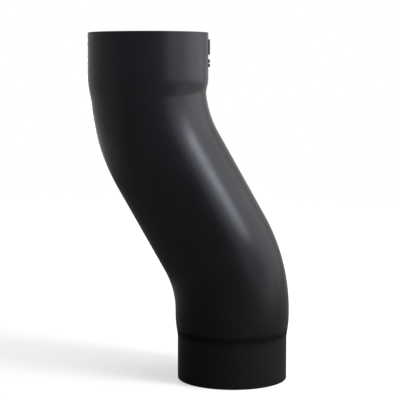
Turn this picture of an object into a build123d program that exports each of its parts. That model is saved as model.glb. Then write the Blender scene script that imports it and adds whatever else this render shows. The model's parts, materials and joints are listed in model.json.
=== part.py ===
from build123d import *
import os
from math import cos, degrees, radians, sin

# Offset bend of a round steel downpipe: one formed tube with a spigot at the foot, two opposed
# bends with a slanting run between them, and a widened socket at the head.
# Millimetres. The origin is the centre of the spigot's rim, +Z is up along the spigot, and the
# head is set over towards -X.

# The sheet, and the pipe that slides into the socket
wall = 0.7
pipe_diameter = 87.0
socket_clearance = 0.5

# Outer diameters of the plain tube and of the drawn-in spigot
body_diameter = 85.4
spigot_diameter = 82.0

# Lengths along the centreline, from the foot up
spigot_length = 31.5
lower_neck_length = 17.0
lower_straight = 2.9
upper_neck_length = 16.9
socket_length = 33.0

# The two bends, and how far they set the head over
bend_angle = 29.2
lower_bend_radius = 104.5
upper_bend_radius = 116.3
head_offset = 62.7

# The upper neck starts to widen this far before the upper bend ends
neck_in_bend = 12.7

# Sections that each neck is drawn through
neck_sections = 7

# Marks pressed out of the socket's side: an upright bar over two dots, all of one width.
# Depths are below the socket's rim, to each mark's middle.
mark_width = 2.8
mark_height = 1.2
bar_length = 11.2
bar_depth = 10.5
dot_depths = (20.8, 23.9)

body_radius = body_diameter / 2
spigot_radius = spigot_diameter / 2
socket_bore_radius = pipe_diameter / 2 + socket_clearance
socket_radius = socket_bore_radius + wall
bends_offset = (lower_bend_radius + upper_bend_radius) * (1 - cos(radians(bend_angle)))
slanting_run = (head_offset - bends_offset) / sin(radians(bend_angle))
neck_turn = degrees(neck_in_bend / upper_bend_radius)
lower_neck_top = spigot_length + lower_neck_length


def ring(radius):
    """Draw the tube's section in the open sketch: a ring one sheet thick."""
    Circle(radius)
    Circle(radius - wall, mode=Mode.SUBTRACT)


def eased(share):
    """Share of a neck's widening at a share of its length, level at both ends."""
    return share**2 * (3 - 2 * share)


def square_to(line, length):
    """Plane square to a centreline at a length along it, turned so that its x is the back."""
    point = line.position_at(length, position_mode=PositionMode.LENGTH)
    direction = line.tangent_at(length, position_mode=PositionMode.LENGTH)
    return Plane(origin=point, x_dir=(0, 1, 0), z_dir=direction)


def marks(width):
    """Draw the bar and the dots, at a width, in the open sketch: its y is up from the rim."""
    with Locations((0, -bar_depth)):
        SlotOverall(bar_length - mark_width + width, width, rotation=90)
    for depth in dot_depths:
        with Locations((0, -depth)):
            Circle(width / 2)


# Centreline of the plain tube, up to where the upper neck starts to widen
with BuildLine(Plane.XZ) as body_run:
    foot = Line((0, lower_neck_top), (0, lower_neck_top + lower_straight))
    lower_bend = JernArc(foot @ 1, foot % 1, lower_bend_radius, bend_angle)
    slant = Line(lower_bend @ 1, lower_bend @ 1 + slanting_run * (lower_bend % 1))
    JernArc(slant @ 1, slant % 1, upper_bend_radius, neck_turn - bend_angle)

# Centreline of the upper neck: the last of the bend, then upright
neck_start = square_to(body_run.wire(), body_run.wire().length)
with BuildLine(Plane.XZ) as neck_run:
    bend_end = JernArc(neck_start.origin, neck_start.z_dir, upper_bend_radius, -neck_turn)
    Line(bend_end @ 1, bend_end @ 1 + (upper_neck_length - neck_in_bend) * (bend_end % 1))

socket_foot = square_to(neck_run.wire(), upper_neck_length)
rim_centre = socket_foot.origin + Vector(0, 0, socket_length)

with BuildPart() as offset_bend:
    # Spigot, drawn in to slip inside the pipe below
    with BuildSketch(Plane.XY):
        ring(spigot_radius)
    extrude(amount=spigot_length)

    # Lower neck, from the spigot out to the plain tube
    for step in range(neck_sections):
        share = step / (neck_sections - 1)
        with BuildSketch(Plane.XY.offset(spigot_length + share * lower_neck_length)):
            ring(spigot_radius + eased(share) * (body_radius - spigot_radius))
    loft()

    # Plain tube through both bends
    with BuildSketch(square_to(body_run.wire(), 0)):
        ring(body_radius)
    sweep(path=body_run.wire())

    # Upper neck, from the plain tube out to the socket
    for step in range(neck_sections):
        share = step / (neck_sections - 1)
        with BuildSketch(square_to(neck_run.wire(), share * upper_neck_length)):
            ring(body_radius + eased(share) * (socket_radius - body_radius))
    loft()

    # Socket, which the pipe above slides into
    with BuildSketch(socket_foot):
        ring(socket_radius)
    extrude(amount=socket_length)

    # Marks, pressed outwards: they stand proud of the socket and are hollow behind
    side = Plane(origin=rim_centre, x_dir=(0, 1, 0), z_dir=(1, 0, 0))
    with BuildSketch(side.offset(socket_radius - wall / 2)):
        marks(mark_width)
    extrude(amount=mark_height + wall / 2)
    with BuildSketch(side.offset(socket_bore_radius - wall)):
        marks(mark_width - 2 * wall)
    extrude(amount=mark_height + wall, mode=Mode.SUBTRACT)

offset_bend.part.label = "offset_bend"
os.makedirs("parts", exist_ok=True)
export_step(offset_bend.part, "parts/offset_bend.step")
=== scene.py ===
import json
import math

import bpy
import numpy as np
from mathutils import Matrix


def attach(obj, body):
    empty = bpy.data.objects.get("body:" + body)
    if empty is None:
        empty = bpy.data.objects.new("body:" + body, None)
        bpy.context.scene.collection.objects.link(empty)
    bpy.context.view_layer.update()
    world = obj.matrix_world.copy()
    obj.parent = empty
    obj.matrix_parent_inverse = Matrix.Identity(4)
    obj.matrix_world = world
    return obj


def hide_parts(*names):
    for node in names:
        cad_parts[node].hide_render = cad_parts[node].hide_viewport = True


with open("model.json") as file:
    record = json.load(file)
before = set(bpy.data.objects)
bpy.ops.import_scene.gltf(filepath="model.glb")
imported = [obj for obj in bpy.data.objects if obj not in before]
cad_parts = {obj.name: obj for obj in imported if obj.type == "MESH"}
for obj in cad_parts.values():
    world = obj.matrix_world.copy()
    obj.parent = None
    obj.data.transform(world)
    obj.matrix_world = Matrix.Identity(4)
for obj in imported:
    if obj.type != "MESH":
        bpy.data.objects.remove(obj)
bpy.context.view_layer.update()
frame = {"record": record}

# The formed tube. One length of welded sheet-steel tube, 0.7 mm thick, is bent twice, widened at
# the head into a socket and drawn in at the foot into a spigot, then coated all over.
# Lengths are metres along its centreline, from the foot up.
mounts = {mount["name"]: mount for mount in frame["record"]["mounts"]}
spigot_radius = mounts["spigot"]["dims"]["r_mm"] / 1000
spigot_length = mounts["spigot"]["dims"]["length_mm"] / 1000
socket_bore = mounts["socket"]["dims"]["r_mm"] / 1000
socket_length = mounts["socket"]["dims"]["length_mm"] / 1000
head_offset = -mounts["socket"]["pos_m"][0]

wall = 0.0007
body_radius = 0.0427
lower_neck_length = 0.0170
lower_straight = 0.0029
upper_neck_length = 0.0169
neck_in_bend = 0.0127
lower_bend_radius = 0.1045
upper_bend_radius = 0.1163
bend_angle = math.radians(29.2)

# How soon the lower neck turns out of the spigot: 1 is even, and less is sharper.
crease = 0.7

bends_offset = (lower_bend_radius + upper_bend_radius) * (1 - math.cos(bend_angle))
slanting_run = (head_offset - bends_offset) / math.sin(bend_angle)
lower_bend_start = spigot_length + lower_neck_length + lower_straight
upper_bend_start = lower_bend_start + lower_bend_radius * bend_angle + slanting_run
upper_bend_end = upper_bend_start + upper_bend_radius * bend_angle
upper_neck_start = upper_bend_end - neck_in_bend
socket_start = upper_neck_start + upper_neck_length
tube_length = socket_start + socket_length

# The cut rims have a slight round on both edges, drawn in a few steps, and the coating wears a
# little way back from them. The weld stands a little proud, at the back.
rim_round = 0.0002
rim_steps = 3
rim_wear = 0.0004
weld_at = math.pi / 2
weld_height = 0.00016
weld_width = 0.0012

# The necks' folds, where painted shade makes the coating darker and duller: how far they lie above
# the spigot and below the socket, how wide they are, and how strong the upper one is beside the
# lower.
fold_above = 0.0042
fold_below = 0.0070
fold_width = 0.0030
upper_fold_share = 0.12

# Marks pressed out of the socket's side: an upright bar over two dots. Depths are below the rim.
mark_width = 0.0028
mark_height = 0.0012
mark_slope = 0.0005
dot_width = 0.0025
bar_length = 0.0112
bar_depth = 0.0105
dot_depths = (0.0208, 0.0239)
marks_top = 0.003
marks_bottom = 0.028

# How many steps the centreline is added up in.
centre_steps = 20000


def eased(share):
    """Share of a change of size, level at both of its ends."""
    share = np.clip(share, 0, 1)
    return share**2 * (3 - 2 * share)


def tilt_at(length):
    """How far the centreline leans towards -X at a length along it."""
    into_lower = np.clip((length - lower_bend_start) / lower_bend_radius, 0, bend_angle)
    into_upper = np.clip((length - upper_bend_start) / upper_bend_radius, 0, bend_angle)
    return into_lower - into_upper


def radius_at(length):
    """Outer radius of the tube at a length along it."""
    lower = eased(np.clip((length - spigot_length) / lower_neck_length, 0, 1)**crease)
    upper = eased((length - upper_neck_start) / upper_neck_length)
    lower_growth = body_radius - spigot_radius
    upper_growth = socket_bore + wall - body_radius
    return spigot_radius + lower_growth * lower + upper_growth * upper


def centre_at(length):
    """Centre point of the tube, x and z, at a length along it."""
    fine = np.linspace(0, tube_length, centre_steps + 1)
    middle = tilt_at((fine[1:] + fine[:-1]) / 2)
    x = np.concatenate([[0], np.cumsum(-np.sin(middle))]) * fine[1]
    z = np.concatenate([[0], np.cumsum(np.cos(middle))]) * fine[1]
    return np.interp(length, fine, x), np.interp(length, fine, z)


def mark_rise(across, depth):
    """How far the pressed marks stand out, from the way across them and the depth below the rim."""
    half_bar = (bar_length - mark_width) / 2
    within = mark_width / 2 - np.hypot(across, np.maximum(np.abs(depth - bar_depth) - half_bar, 0))
    for dot in dot_depths:
        within = np.maximum(within, dot_width / 2 - np.hypot(across, depth - dot))
    return mark_height * eased(within / mark_slope + 0.5)


def spaced(first, last, spacing):
    """Evenly spaced values from first up to last, no further apart than the spacing."""
    return np.linspace(first, last, int(math.ceil((last - first) / spacing)) + 1)


# Rings along the tube, in stretches. Each is written as where it starts and how far apart its
# rings are: close together at the necks, at the rims and over the marks.
short_margin = 0.001
long_margin = 0.004
stretches = (
    (rim_round, 0.0004),
    (short_margin, 0.004),
    (spigot_length, 0.0009),
    (lower_bend_start, 0.0022),
    (upper_neck_start - long_margin, 0.001),
    (socket_start + short_margin, 0.001),
    (tube_length - marks_bottom, 0.00027),
    (tube_length - marks_top, 0.0008),
    (tube_length - short_margin, 0.0004))
stretch_ends = [start for start, spacing in stretches[1:]] + [tube_length - rim_round]
outer_rings = np.unique(np.concatenate([
    spaced(start, end, spacing) for (start, spacing), end in zip(stretches, stretch_ends)]))

# Inside, every second ring is enough, apart from the ones next to the rims.
last_ring = len(outer_rings) - 1
inner_rings = outer_rings[::-1][np.r_[0, 1, 2, 3:last_ring:2, last_ring]]

# One way round the wall: up the outside, over the socket's rim, down the inside, and back over
# the spigot's rim. Inside counts as 1 and outside as 0, with the rims between.
round_turn = np.linspace(0, math.pi / 2, rim_steps + 1)[1:]
rim_along = rim_round * (1 - np.sin(round_turn))
rim_in = rim_round * (1 - np.cos(round_turn))
rim_inner = np.linspace(0.1, 0.5, rim_steps)
lengths = np.concatenate([
    outer_rings, tube_length - rim_along, (tube_length - rim_along)[::-1],
    inner_rings, rim_along, rim_along[::-1]])
insets = np.concatenate([
    0 * outer_rings, rim_in, wall - rim_in[::-1],
    0 * inner_rings + wall, wall - rim_in, rim_in[::-1]])
is_inner = np.concatenate([
    0 * outer_rings, rim_inner, 1 - rim_inner[::-1],
    0 * inner_rings + 1, 1 - rim_inner, rim_inner[::-1]])

# Columns round the tube: finer over the marks, which face +X, and over the weld, at the back. Each
# reach is how far the finer ones go to either side, and the spacings are in radians.
marks_reach = 0.0030
weld_reach = 0.0016
marks_half = marks_reach / socket_bore
weld_half = weld_reach / socket_bore
marks_spacing = 0.0052
weld_spacing = 0.0067
plain_spacing = 0.036
turns = np.concatenate([
    spaced(-marks_half, marks_half, marks_spacing),
    spaced(marks_half, weld_at - weld_half, plain_spacing)[1:],
    spaced(weld_at - weld_half, weld_at + weld_half, weld_spacing)[1:],
    spaced(weld_at + weld_half, 2 * math.pi - marks_half, plain_spacing)[1:-1]])

length_grid, turn_grid = np.meshgrid(lengths, turns, indexing="ij")
inset_grid = np.repeat(insets[:, None], len(turns), axis=1)
inner_grid = np.repeat(is_inner[:, None], len(turns), axis=1)
across_marks = np.where(turn_grid > math.pi, turn_grid - 2 * math.pi, turn_grid) * socket_bore
across_weld = (turn_grid - weld_at) * body_radius
marked = mark_rise(across_marks, tube_length - length_grid)
welded = np.exp(-((across_weld / (weld_width / 2)) ** 2)) * (1 - inner_grid)
radius = radius_at(length_grid) - inset_grid + marked + weld_height * welded
centre_x, centre_z = centre_at(length_grid)
tilt = tilt_at(length_grid)
points = np.stack([
    centre_x + radius * np.cos(turn_grid) * np.cos(tilt),
    radius * np.sin(turn_grid),
    centre_z + radius * np.cos(turn_grid) * np.sin(tilt)], axis=-1)

rows, columns = length_grid.shape
here = np.arange(rows * columns).reshape(rows, columns)
faces = np.stack([
    here, np.roll(here, -1, axis=1), np.roll(np.roll(here, -1, axis=0), -1, axis=1),
    np.roll(here, -1, axis=0)], axis=-1)
bend_mesh = bpy.data.meshes.new("formed_tube")
bend_mesh.from_pydata(points.reshape(-1, 3).tolist(), [], faces.reshape(-1, 4).tolist())
bend_mesh.polygons.foreach_set("use_smooth", [True] * len(bend_mesh.polygons))

# What the coating needs to know of each point of the tube.
rim_near = np.exp(-np.minimum(length_grid, tube_length - length_grid) / rim_wear)
# Masks of the necks' folds, where the coating gets painted shade.
lower_fold = np.exp(-(((length_grid - spigot_length - fold_above) / fold_width)**2))
upper_fold = np.exp(-(((socket_start - fold_below - length_grid) / fold_width)**2))
folds = (lower_fold + upper_fold_share * upper_fold) * (1 - inner_grid)
# What faces down, where the coating gets painted shade.
facing_down = np.maximum(-np.cos(turn_grid) * np.sin(tilt), 0)
notes = {"inside": inner_grid, "rim": rim_near, "weld": welded, "mark": marked / mark_height,
         "fold": folds, "facing_down": facing_down}
for name, values in notes.items():
    layer = bend_mesh.attributes.new(name, "FLOAT", "POINT")
    layer.data.foreach_set("value", values.reshape(-1).astype(np.float32))
bend_mesh.update()
formed_tube = bpy.data.objects.new("formed_tube", bend_mesh)
bpy.context.scene.collection.objects.link(formed_tube)


class Flow:
    """A shader socket that can be used in sums as if it were a number."""

    def __init__(self, finish, socket):
        self.finish = finish
        self.socket = socket

    def maths(self, operation, first, second):
        return self.finish.add("ShaderNodeMath", {"operation": operation}, {0: first, 1: second})

    def __add__(self, other):
        return self.maths("ADD", self, other)

    __radd__ = __add__

    def __sub__(self, other):
        return self.maths("SUBTRACT", self, other)

    def __rsub__(self, other):
        return self.maths("SUBTRACT", other, self)

    def __mul__(self, other):
        return self.maths("MULTIPLY", self, other)

    __rmul__ = __mul__


class Finish:
    """The node tree of one material, or of the world, built from an empty one."""

    def __init__(self, name, owner=None):
        self.owner = owner or bpy.data.materials.new(name)
        self.owner.use_nodes = True
        self.nodes = self.owner.node_tree.nodes
        self.nodes.clear()

    def add(self, kind, settings=None, inputs=None, output=0):
        """Adds a node: its settings first, then its inputs, and gives back one of its outputs."""
        node = self.nodes.new(kind)
        for name, value in (settings or {}).items():
            setattr(node, name, value)
        for name, value in (inputs or {}).items():
            if isinstance(value, Flow):
                self.owner.node_tree.links.new(value.socket, node.inputs[name])
            else:
                node.inputs[name].default_value = value
        return Flow(self, node.outputs[output]) if len(node.outputs) else node

    def looked_at(self):
        """1 where a camera ray, a reflection or a view through glass meets it, and 0 elsewhere."""
        camera = self.add("ShaderNodeLightPath", output="Is Camera Ray")
        glossy = self.add("ShaderNodeLightPath", output="Is Glossy Ray")
        through = self.add("ShaderNodeLightPath", output="Is Transmission Ray")
        return self.add("ShaderNodeClamp", {}, {"Value": camera + glossy + through})

    def noted(self, name):
        """What was noted on the mesh under a name."""
        return self.add("ShaderNodeAttribute", {"attribute_name": name}, output=2)

    def noise(self, where, scale, detail, roughness=0.5):
        """Grey clouds, about 0.5 on average, at a scale in waves for each metre."""
        return self.add("ShaderNodeTexNoise", {}, {
            "Vector": where, "Scale": scale, "Detail": detail, "Roughness": roughness})

    def step(self, value, low, high):
        """0 where the value is under low, 1 where it is over high, and smooth between."""
        return self.add("ShaderNodeMapRange", {"interpolation_type": "SMOOTHSTEP"}, {
            "Value": value, "From Min": low, "From Max": high})

    def blend(self, share, first, second):
        """A colour between two, at a share of the second."""
        return self.add("ShaderNodeMix", {"data_type": "RGBA"}, {
            "Factor": share, 6: first, 7: second}, output=2)


# The coating: satin black polyester, sprayed on as powder and baked over galvanised steel. It has
# a faint orange peel and soft patches of handling, holds patches of dust and lies thin over the cut
# rims. Painted light makes it lighter towards the head and on the head's side, and painted shade
# makes it darker and duller towards the foot, along the necks' folds and on the underside.
coat_black = (0.0006, 0.0006, 0.0007, 1)
# Partly real dust in patches, partly painted light towards the head.
dust_and_head_light_black = (0.0052, 0.0049, 0.0062, 1)
# Painted light on the head's side.
painted_side_light_black = (0.0115, 0.0113, 0.0136, 1)
# Painted shade: a matt black for the foot.
foot_shade_black = (0.0046, 0.0046, 0.0046, 1)
# Painted shade: a matt black for the underside.
underside_shade_black = (0.0078, 0.0078, 0.0084, 1)
# Painted shade: a matt black for the necks' folds.
fold_shade_black = (0.0022, 0.0022, 0.0022, 1)
coat_inside = (0.014, 0.014, 0.0148, 1)
bare_steel = (0.10, 0.10, 0.104, 1)
coat_index = 1.185
coat_tint = (0.84, 0.87, 1.0, 1)
coat_roughness = 0.30

# Heights between which the painted light towards the head sets in and the foot's painted shade gives
# way to satin, how far over towards the head's side the painted light on that side reaches, and how
# squarely it has to face down to take the underside's painted shade.
head_light_heights = (0.10, 0.26)
foot_shade_heights = (0.02, 0.145)
side_light_over = (0.072, 0.094)
underside_shade_facing = (0.20, 0.44)

# How much of the satin is left at the foot under its painted shade, and how much the painted shade of
# the folds and of the underside takes away.
foot_satin = 0.14
fold_painted_shade = 0.6
underside_painted_shade = 0.8

# How much of the lighter black is dust lying in patches, the rest being painted light that grows
# towards the head, how much the specks break the patches up, and how much the cut rims and their
# uneven wear count where the coating is worn thin enough for the steel to show.
patchy_share = 0.2
speck_share = 0.35
dust_patches = (0.55, 0.95)
rim_share = 0.62
wear_share = 0.6
worn_thin = (0.88, 1.04)
steel_share = 0.8

# What the handling, the dust, the inside, the weld and the marks add to the roughness.
cloud_roughness = 0.06
dust_roughness = 0.05
inside_roughness = 0.12
weld_roughness = 0.03
mark_roughness = 0.02

# Depths of the orange peel, of the sheet's slight waviness and of the grain on the weld.
peel_depth = 0.000006
sway_depth = 0.00006
grain_depth = 0.00004

coat = Finish("coated_steel")
where = coat.add("ShaderNodeTexCoord", output=3)
clouds = coat.noise(where, scale=22, detail=4, roughness=0.55)
specks = coat.noise(where, scale=900, detail=2)
peel = coat.noise(where, scale=420, detail=2, roughness=0.4)
sway = coat.noise(where, scale=26, detail=1)
wear = coat.noise(where, scale=170, detail=2)
inside = coat.noted("inside")
rim = coat.noted("rim")
weld = coat.noted("weld")
mark = coat.noted("mark")
fold = coat.noted("fold")
underside = coat.noted("facing_down")
upright = coat.add("ShaderNodeSeparateXYZ", {}, {0: where}, output=2)
set_over = 0 - coat.add("ShaderNodeSeparateXYZ", {}, {0: where}, output=0)

dust = coat.step(clouds + specks * speck_share, *dust_patches)
thin = coat.step(rim * rim_share + wear * wear_share, *worn_thin)
# Painted light: the coating is lighter towards the head.
painted_head_light = coat.step(upright, *head_light_heights)
# Painted shade where the tube faces down.
underside_shade = coat.step(underside, *underside_shade_facing)
# Painted shade: the satin gives way to a darker matt black towards the foot, along the folds and on
# the underside.
satin = foot_satin + (1 - foot_satin) * coat.step(upright, *foot_shade_heights)
satin = satin * (1 - fold_painted_shade * fold) * (1 - underside_painted_shade * underside_shade)
# Patches of real dust, and painted light that grows towards the head.
black = coat.blend(dust * patchy_share + painted_head_light * (1 - patchy_share), coat_black, dust_and_head_light_black)
# Painted light: lighter on the head's side.
black = coat.blend(coat.step(set_over, *side_light_over), black, painted_side_light_black)
black = coat.blend(inside, black, coat_inside)
colour = coat.blend(thin, black, bare_steel)
gloss = coat_roughness + (clouds - 0.5) * cloud_roughness + dust * dust_roughness
gloss = gloss + inside * inside_roughness + weld * weld_roughness + mark * mark_roughness
height = peel * peel_depth + sway * sway_depth + weld * specks * grain_depth
skin = coat.add("ShaderNodeBump", {}, {"Strength": 1.0, "Distance": 1.0, "Height": height})
surface = coat.add("ShaderNodeBsdfPrincipled", {}, {
    "Base Color": colour, "Roughness": gloss, "Metallic": thin * steel_share, "IOR": coat_index,
    "Specular Tint": coat_tint, "Normal": skin})
# The painted shade's matt blacks, for the foot, the underside and the folds.
painted_shade_colour = coat.blend(fold, coat.blend(underside_shade, foot_shade_black, underside_shade_black), fold_shade_black)
painted_shade_surface = coat.add("ShaderNodeBsdfPrincipled", {}, {
    "Base Color": painted_shade_colour, "Roughness": 1.0, "IOR": 1.0, "Normal": skin})
# The matt share of the finish is the painted shade.
finish = coat.add("ShaderNodeMixShader", {}, {
    0: (1 - satin) * (1 - inside) * (1 - thin), 1: surface, 2: painted_shade_surface})
coat.add("ShaderNodeOutputMaterial", {}, {"Surface": finish})

bend_mesh.materials.append(coat.owner)
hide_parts("offset_bend")
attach(formed_tube, "root")

# The floor: a plain sheet of white card that the bend stands on. It keeps the bend's soft shadow,
# and farther out it thins away into the white room, so that no edge shows.
floor_size = 6.0
floor_white = (0.74, 0.74, 0.74, 1)
floor_glow = 0.5
fade_start = 0.2
fade_end = 1.4

card = Finish("white_card")
place = card.add("ShaderNodeTexCoord", output=3)
distance = card.add("ShaderNodeVectorMath", {"operation": "LENGTH"}, {0: place}, output=1)
seen = card.looked_at()
matt = card.add("ShaderNodeBsdfDiffuse", {}, {"Color": floor_white})
glow = card.add("ShaderNodeEmission", {}, {"Color": (1, 1, 1, 1), "Strength": 1.0})
clear = card.add("ShaderNodeBsdfTransparent")
lit = card.add("ShaderNodeMixShader", {}, {0: seen * floor_glow, 1: matt, 2: glow})
faded = card.step(distance, fade_start, fade_end)
fading = card.add("ShaderNodeMixShader", {}, {0: faded, 1: lit, 2: clear})
card.add("ShaderNodeOutputMaterial", {}, {"Surface": fading})
bpy.ops.mesh.primitive_plane_add(size=floor_size)
floor = bpy.context.object
floor.name = "floor_card"
floor.data.materials.append(card.owner)

# The light: a white room and studio lamps. The room is full white where it is looked at or
# mirrored, and softer for what only scatters its light.
room_fill = 0.4
bpy.context.scene.world = bpy.data.worlds.new("white_room")
room = Finish("white_room", bpy.context.scene.world)
level = room.add("ShaderNodeMapRange", {}, {
    "Value": room.looked_at(), "To Min": room_fill, "To Max": 1.0})
white = room.add("ShaderNodeBackground", {}, {"Color": (1, 1, 1, 1), "Strength": level})
room.add("ShaderNodeOutputWorld", {}, {"Surface": white})

# The point that every lamp faces, at the middle of the bend.
aim = (-0.03, 0.0, 0.14)


def add_lamp(name, turn, rise, distance, width, height, radiance):
    """A soft lamp, facing the bend from a turn round it (0 is the camera's side) and a rise."""
    light = bpy.data.lights.new(name, "AREA")
    light.shape = "RECTANGLE"
    light.size = width
    light.size_y = height
    light.energy = radiance * math.pi * width * height
    lamp = bpy.data.objects.new(name, light)
    turn, rise = math.radians(turn), math.radians(rise)
    away = (math.sin(turn) * math.cos(rise), -math.cos(turn) * math.cos(rise), math.sin(rise))
    lamp.location = [start + distance * part for start, part in zip(aim, away)]
    lamp.rotation_euler = (math.pi / 2 - rise, 0, turn)
    lamp.visible_camera = False
    bpy.context.scene.collection.objects.link(lamp)


# One small bright lamp draws the long streak, and a wide faint one softens it. Tall panels that
# reach down to the floor stand round the right-hand side and behind, and low strips light what
# faces down: the outside of the lower bend and the neck under the socket.
add_lamp("streak_lamp", turn=62.5, rise=24.5, distance=1.4, width=0.40, height=0.26, radiance=67.0)
add_lamp("soft_lamp", turn=57, rise=28, distance=1.4, width=0.90, height=0.50, radiance=6.8)
for turn, radiance in ((45, 3.7), (75, 2.7), (90, 7.2), (105, 3.2), (120, 2.8), (192, 10.0)):
    add_lamp(f"panel_{turn}", turn, rise=15, distance=1.4, width=0.50, height=0.95, radiance=radiance)
add_lamp("far_strip", turn=60, rise=-2, distance=1.3, width=0.60, height=0.17, radiance=5.4)
add_lamp("near_strip", turn=75, rise=-14, distance=0.46, width=0.25, height=0.08, radiance=6.0)
add_lamp("side_strip", turn=95, rise=-11, distance=0.60, width=0.50, height=0.08, radiance=2.0)

# The camera, at the photo's height and distance. It is pitched a little down, and its lens gives
# the photo's focal length in pixels.
camera_place = (-0.0242, -0.9233, 0.2314)
camera_pitch = math.radians(6.0)
frame_pixels = 400
focal_pixels = 1243.2
camera_data = bpy.data.cameras.new("photo_camera")
camera_data.sensor_width = 36
camera_data.lens = camera_data.sensor_width * focal_pixels / frame_pixels
camera = bpy.data.objects.new("photo_camera", camera_data)
camera.location = camera_place
camera.rotation_euler = (math.pi / 2 - camera_pitch, 0, 0)
bpy.context.scene.collection.objects.link(camera)
bpy.context.scene.camera = camera
bpy.context.scene.view_settings.view_transform = "Standard"
